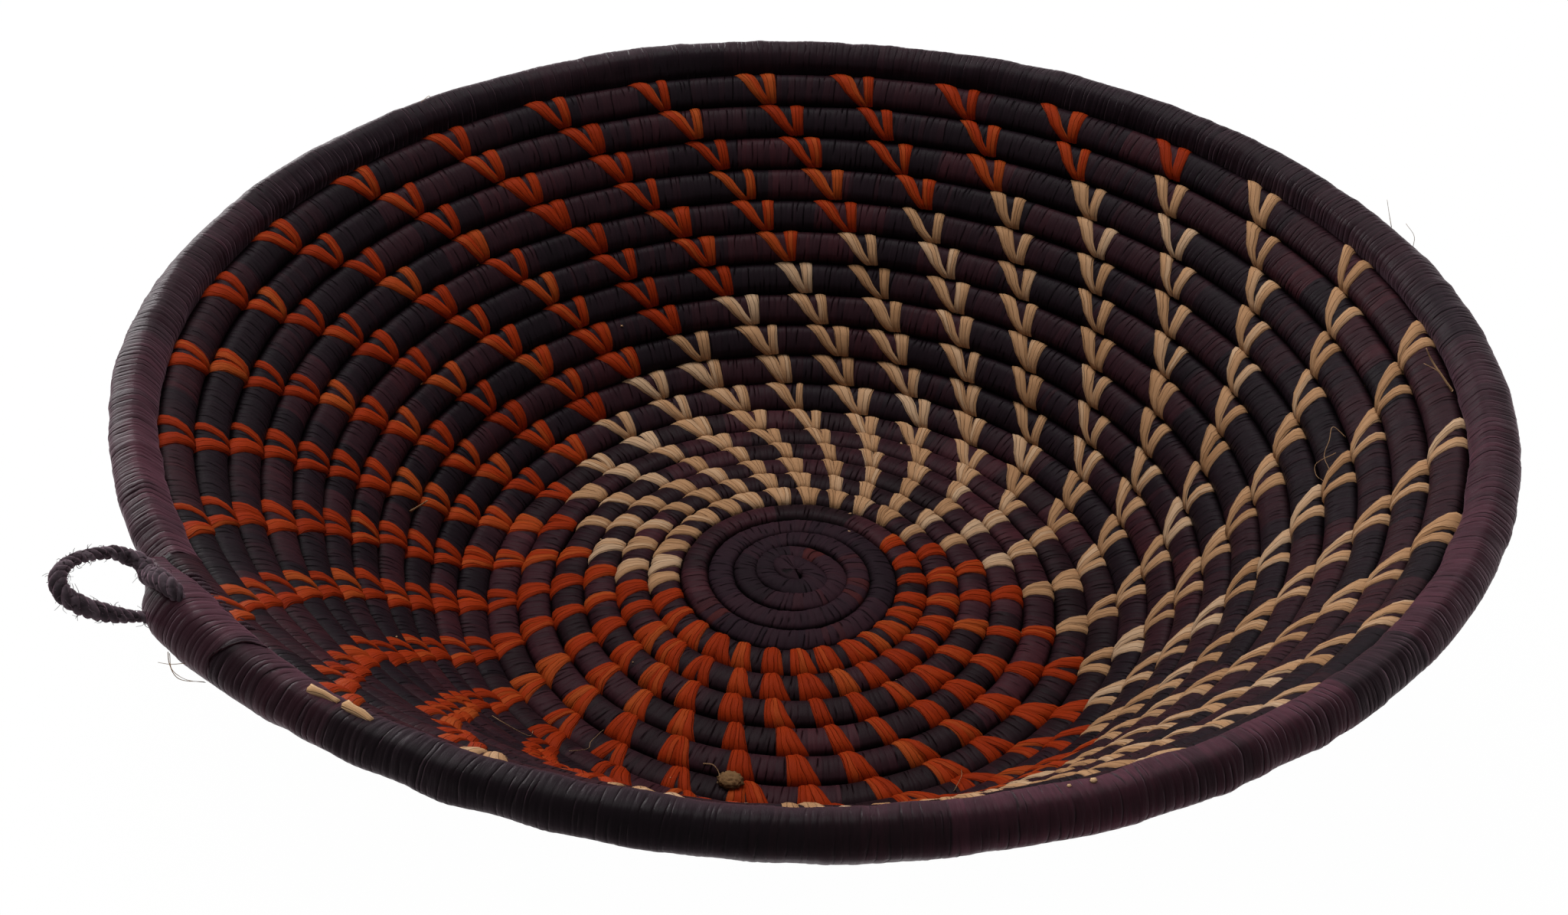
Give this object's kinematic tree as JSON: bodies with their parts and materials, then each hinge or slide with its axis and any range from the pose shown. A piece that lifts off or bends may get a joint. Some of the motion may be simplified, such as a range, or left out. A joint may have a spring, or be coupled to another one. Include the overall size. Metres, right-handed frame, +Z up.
{
  "type": "woven fruit bowl",
  "caption": "Round coiled bowl with a domed base, sloping wall, thick wrapped rim and a small hanging loop.",
  "frame": {"origin": "on the surface that the bowl stands on, under the middle of the coil's box, the hanging loop left out", "axes": "+Z up out of the bowl's mouth; the hanging loop stands out towards -X and -Y"},
  "size_m": [0.2972, 0.3008, 0.0951],
  "materials": {
    "centre_raffia": "raffia wrapping, dyed black-brown",
    "stitched_raffia": "raffia wrapping with orange and natural stitches",
    "dark_raffia": "raffia wrapping, dyed blue-black",
    "plum_raffia": "raffia wrapping, dyed plum",
    "loop_cord": "twisted raffia cord"
  },
  "bodies": {
    "bowl": {"center_coil": "centre_raffia", "base_coil": "stitched_raffia", "wall_coil": "dark_raffia", "rim_coil": "plum_raffia", "loop_tail": "loop_cord"},
    "loop": {"hanging_loop": "loop_cord"}
  },
  "joints": [
    {"name": "loop_hinge", "type": "hinge", "parent": "bowl", "child": "loop", "pos_m": [-0.12563, -0.08708, 0.0868], "axis": [0.3285, -0.8825, -0.3365], "range_deg": [-60, 50]}
  ]
}
